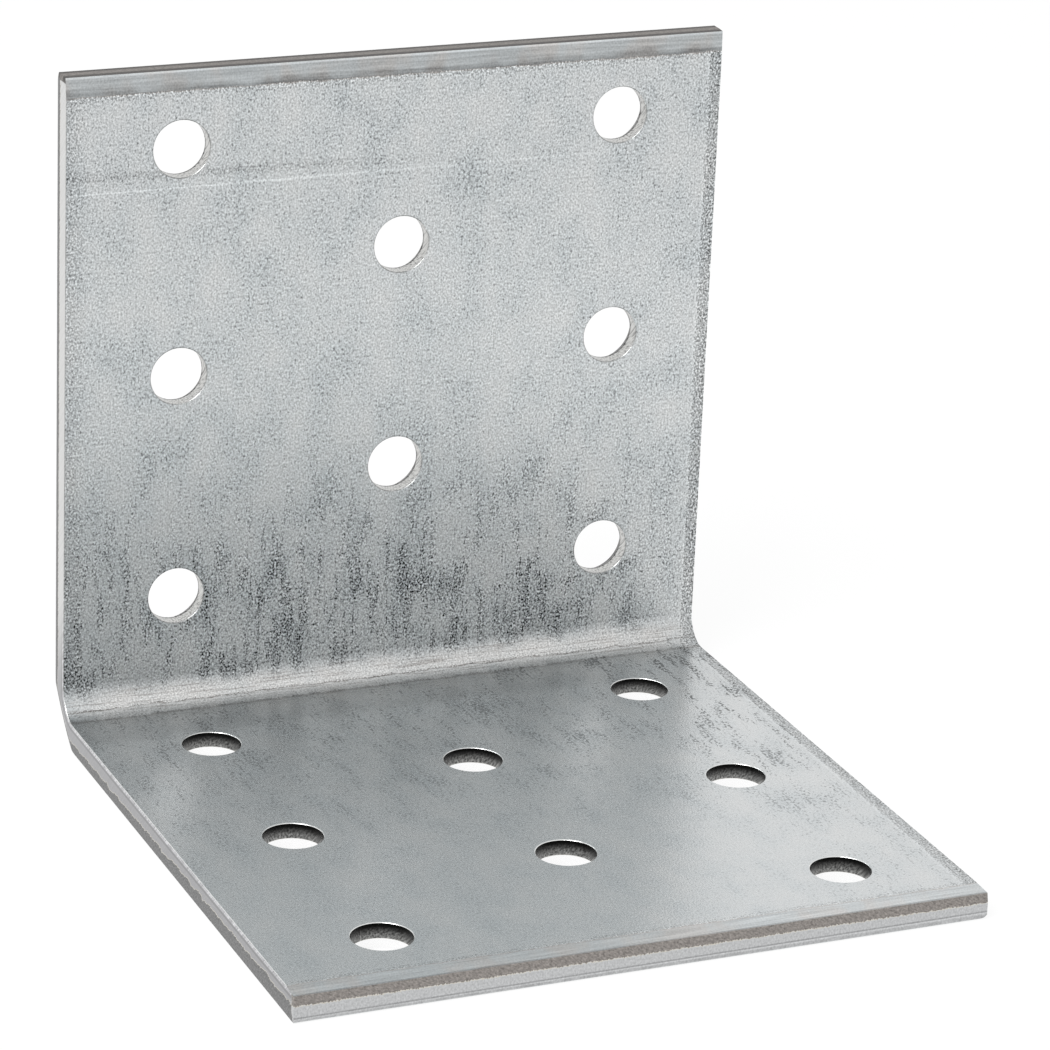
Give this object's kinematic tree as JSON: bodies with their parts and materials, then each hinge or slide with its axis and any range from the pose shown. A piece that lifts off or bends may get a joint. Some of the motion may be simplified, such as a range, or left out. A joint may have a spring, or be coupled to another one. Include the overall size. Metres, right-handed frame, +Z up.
{
  "type": "corner brace bracket",
  "caption": "Right-angle corner brace folded from thick galvanised sheet steel, with a staggered pattern of screw holes in both flanges.",
  "frame": {"origin": "middle of the base flange's footprint, on its underside", "axes": "+Z is up, square to the base flange; X runs along the fold; the upright flange stands at the +Y side with its back face looking to +Y"},
  "size_m": [0.0598, 0.0598, 0.0592],
  "materials": {
    "galvanised_steel": "satin zinc coating with fine grain, bare brownish steel on the cut edges"
  },
  "bodies": {
    "root": {"bracket": "galvanised_steel"}
  },
  "joints": []
}
